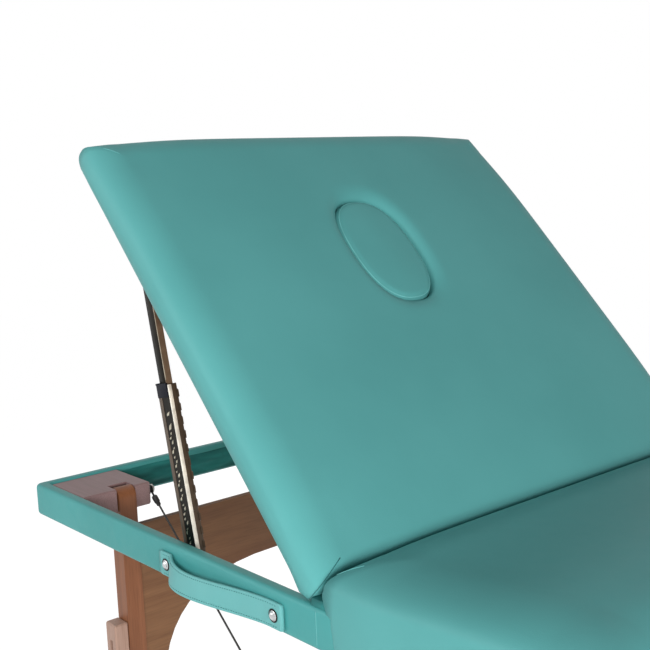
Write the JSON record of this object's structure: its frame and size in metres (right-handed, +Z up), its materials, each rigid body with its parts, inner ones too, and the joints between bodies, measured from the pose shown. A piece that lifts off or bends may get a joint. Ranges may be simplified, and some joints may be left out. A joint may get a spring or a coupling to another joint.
{
  "type": "folding massage table",
  "caption": "Folding massage table in teal vinyl with a backrest raised on ratchet struts, a face-hole plug, wooden folding legs with arch panels, stay cables and carrying straps.",
  "frame": {"origin": "on the floor under the middle of the fold, midway between the side rails", "axes": "+X along the table towards the foot end, +Y across it away from the carrying handles, +Z up"},
  "size_m": [2, 0.7223, 1.123],
  "materials": {
    "vinyl": "satin",
    "rail_vinyl": "satin",
    "strap": "satin",
    "plywood": "matte",
    "beech": "satin",
    "pale_wood": "matte",
    "steel": "satin",
    "black_plastic": "matte",
    "cable": "satin"
  },
  "bodies": {
    "head_half": {"head_near_rail": "rail_vinyl", "head_far_rail": "rail_vinyl", "head_end_rail": "rail_vinyl", "head_fold_rail": "rail_vinyl", "seat_deck": "plywood", "seat_pad": "vinyl", "head_near_leg_block": "pale_wood", "head_far_leg_block": "pale_wood", "head_handle": "strap", "fold_hinge_head_leaf": "steel", "head_near_cable": "cable", "head_far_cable": "cable"},
    "foot_half": {"foot_near_rail": "rail_vinyl", "foot_far_rail": "rail_vinyl", "foot_end_rail": "rail_vinyl", "foot_fold_rail": "rail_vinyl", "foot_deck": "plywood", "foot_pad": "vinyl", "foot_near_leg_block": "pale_wood", "foot_far_leg_block": "pale_wood", "foot_handle": "strap", "fold_hinge_foot_leaf": "steel", "foot_near_cable": "cable", "foot_far_cable": "cable"},
    "backrest": {"backrest_board": "plywood", "backrest_pad": "vinyl", "backrest_hinge_leaf": "steel"},
    "face_plug": {"face_plug": "vinyl"},
    "strut_channels": {"near_strut_channel": "steel", "far_strut_channel": "steel"},
    "strut_bars": {"near_strut_bar": "steel", "far_strut_bar": "steel"},
    "head_end_legs": {"head_end_near_leg": "beech", "head_end_far_leg": "beech", "head_end_arch_panel": "plywood"},
    "head_end_near_extension": {"head_end_near_extension": "pale_wood"},
    "head_end_near_knob": {"head_end_near_knob": "black_plastic"},
    "head_end_far_extension": {"head_end_far_extension": "pale_wood"},
    "head_end_far_knob": {"head_end_far_knob": "black_plastic"},
    "head_inner_legs": {"head_inner_near_leg": "beech", "head_inner_far_leg": "beech", "head_inner_cross_board": "plywood"},
    "head_inner_near_extension": {"head_inner_near_extension": "pale_wood"},
    "head_inner_near_knob": {"head_inner_near_knob": "black_plastic"},
    "head_inner_far_extension": {"head_inner_far_extension": "pale_wood"},
    "head_inner_far_knob": {"head_inner_far_knob": "black_plastic"},
    "foot_end_legs": {"foot_end_near_leg": "beech", "foot_end_far_leg": "beech", "foot_end_arch_panel": "plywood"},
    "foot_end_near_extension": {"foot_end_near_extension": "pale_wood"},
    "foot_end_near_knob": {"foot_end_near_knob": "black_plastic"},
    "foot_end_far_extension": {"foot_end_far_extension": "pale_wood"},
    "foot_end_far_knob": {"foot_end_far_knob": "black_plastic"},
    "foot_inner_legs": {"foot_inner_near_leg": "beech", "foot_inner_far_leg": "beech", "foot_inner_cross_board": "plywood"},
    "foot_inner_near_extension": {"foot_inner_near_extension": "pale_wood"},
    "foot_inner_near_knob": {"foot_inner_near_knob": "black_plastic"},
    "foot_inner_far_extension": {"foot_inner_far_extension": "pale_wood"},
    "foot_inner_far_knob": {"foot_inner_far_knob": "black_plastic"}
  },
  "joints": [
    {"name": "table_fold", "type": "hinge", "parent": "head_half", "child": "foot_half", "pos_m": [0, 0, 0.5955], "axis": [0, 1, 0], "range_deg": [0, 180], "deforming": ["head_near_cable", "head_far_cable", "foot_near_cable", "foot_far_cable"]},
    {"name": "backrest_tilt", "type": "hinge", "parent": "head_half", "child": "backrest", "pos_m": [-0.389, 0, 0.6456], "axis": [0, 1, 0], "range_deg": [-47.1, 0]},
    {"name": "strut_swing", "type": "hinge", "parent": "head_half", "child": "strut_channels", "pos_m": [-0.634, 0, 0.619], "axis": [0, 1, 0], "range_deg": [-76.68, 0]},
    {"name": "strut_slide", "type": "slide", "parent": "strut_channels", "child": "strut_bars", "axis": [-0.2075, 0, 0.9782], "range_m": [-0.14632, 0]},
    {"name": "plug_lift", "type": "slide", "parent": "backrest", "child": "face_plug", "axis": [0.7325, 0, 0.6807], "range_m": [0, 0.09]},
    {"name": "head_end_fold", "type": "hinge", "parent": "head_half", "child": "head_end_legs", "pos_m": [-0.894, 0, 0.625], "axis": [0, -1, 0], "range_deg": [0, 90]},
    {"name": "head_end_near_height", "type": "slide", "parent": "head_end_legs", "child": "head_end_near_extension", "axis": [0, 0, -1], "range_m": [-0.055, 0.09]},
    {"name": "head_end_near_clamp", "type": "hinge", "parent": "head_end_legs", "child": "head_end_near_knob", "pos_m": [-0.894, -0.3008, 0.265], "axis": [0, -1, 0], "continuous": true},
    {"name": "head_end_far_height", "type": "slide", "parent": "head_end_legs", "child": "head_end_far_extension", "axis": [0, 0, -1], "range_m": [-0.055, 0.09]},
    {"name": "head_end_far_clamp", "type": "hinge", "parent": "head_end_legs", "child": "head_end_far_knob", "pos_m": [-0.894, 0.3008, 0.265], "axis": [0, 1, 0], "continuous": true},
    {"name": "head_inner_fold", "type": "hinge", "parent": "head_half", "child": "head_inner_legs", "pos_m": [-0.27, 0, 0.61], "axis": [0, 1, 0], "range_deg": [0, 90]},
    {"name": "head_inner_near_height", "type": "slide", "parent": "head_inner_legs", "child": "head_inner_near_extension", "axis": [0, 0, -1], "range_m": [-0.055, 0.09]},
    {"name": "head_inner_near_clamp", "type": "hinge", "parent": "head_inner_legs", "child": "head_inner_near_knob", "pos_m": [-0.27, -0.1682, 0.265], "axis": [0, 1, 0], "continuous": true},
    {"name": "head_inner_far_height", "type": "slide", "parent": "head_inner_legs", "child": "head_inner_far_extension", "axis": [0, 0, -1], "range_m": [-0.055, 0.09]},
    {"name": "head_inner_far_clamp", "type": "hinge", "parent": "head_inner_legs", "child": "head_inner_far_knob", "pos_m": [-0.27, 0.1682, 0.265], "axis": [0, -1, 0], "continuous": true},
    {"name": "foot_end_fold", "type": "hinge", "parent": "foot_half", "child": "foot_end_legs", "pos_m": [0.894, 0, 0.625], "axis": [0, 1, 0], "range_deg": [0, 90]},
    {"name": "foot_end_near_height", "type": "slide", "parent": "foot_end_legs", "child": "foot_end_near_extension", "axis": [0, 0, -1], "range_m": [-0.055, 0.09]},
    {"name": "foot_end_near_clamp", "type": "hinge", "parent": "foot_end_legs", "child": "foot_end_near_knob", "pos_m": [0.894, -0.2768, 0.265], "axis": [0, -1, 0], "continuous": true},
    {"name": "foot_end_far_height", "type": "slide", "parent": "foot_end_legs", "child": "foot_end_far_extension", "axis": [0, 0, -1], "range_m": [-0.055, 0.09]},
    {"name": "foot_end_far_clamp", "type": "hinge", "parent": "foot_end_legs", "child": "foot_end_far_knob", "pos_m": [0.894, 0.2768, 0.265], "axis": [0, 1, 0], "continuous": true},
    {"name": "foot_inner_fold", "type": "hinge", "parent": "foot_half", "child": "foot_inner_legs", "pos_m": [0.27, 0, 0.61], "axis": [0, -1, 0], "range_deg": [0, 90]},
    {"name": "foot_inner_near_height", "type": "slide", "parent": "foot_inner_legs", "child": "foot_inner_near_extension", "axis": [0, 0, -1], "range_m": [-0.055, 0.09]},
    {"name": "foot_inner_near_clamp", "type": "hinge", "parent": "foot_inner_legs", "child": "foot_inner_near_knob", "pos_m": [0.27, -0.1442, 0.265], "axis": [0, 1, 0], "continuous": true},
    {"name": "foot_inner_far_height", "type": "slide", "parent": "foot_inner_legs", "child": "foot_inner_far_extension", "axis": [0, 0, -1], "range_m": [-0.055, 0.09]},
    {"name": "foot_inner_far_clamp", "type": "hinge", "parent": "foot_inner_legs", "child": "foot_inner_far_knob", "pos_m": [0.27, 0.1442, 0.265], "axis": [0, -1, 0], "continuous": true}
  ],
  "couplings": [
    {"joint": "strut_swing", "follows": "backrest_tilt", "ratio": 1.6279},
    {"joint": "strut_slide", "follows": "backrest_tilt", "m_per_rad": 0.17787},
    {"joint": "head_end_fold", "follows": "table_fold", "ratio": 0.5},
    {"joint": "head_end_far_height", "follows": "head_end_near_height", "ratio": 1},
    {"joint": "head_inner_fold", "follows": "table_fold", "ratio": 0.5},
    {"joint": "head_inner_near_height", "follows": "head_end_near_height", "ratio": 1},
    {"joint": "head_inner_far_height", "follows": "head_end_near_height", "ratio": 1},
    {"joint": "foot_end_fold", "follows": "table_fold", "ratio": 0.5},
    {"joint": "foot_end_near_height", "follows": "head_end_near_height", "ratio": 1},
    {"joint": "foot_end_far_height", "follows": "head_end_near_height", "ratio": 1},
    {"joint": "foot_inner_fold", "follows": "table_fold", "ratio": 0.5},
    {"joint": "foot_inner_near_height", "follows": "head_end_near_height", "ratio": 1},
    {"joint": "foot_inner_far_height", "follows": "head_end_near_height", "ratio": 1}
  ]
}
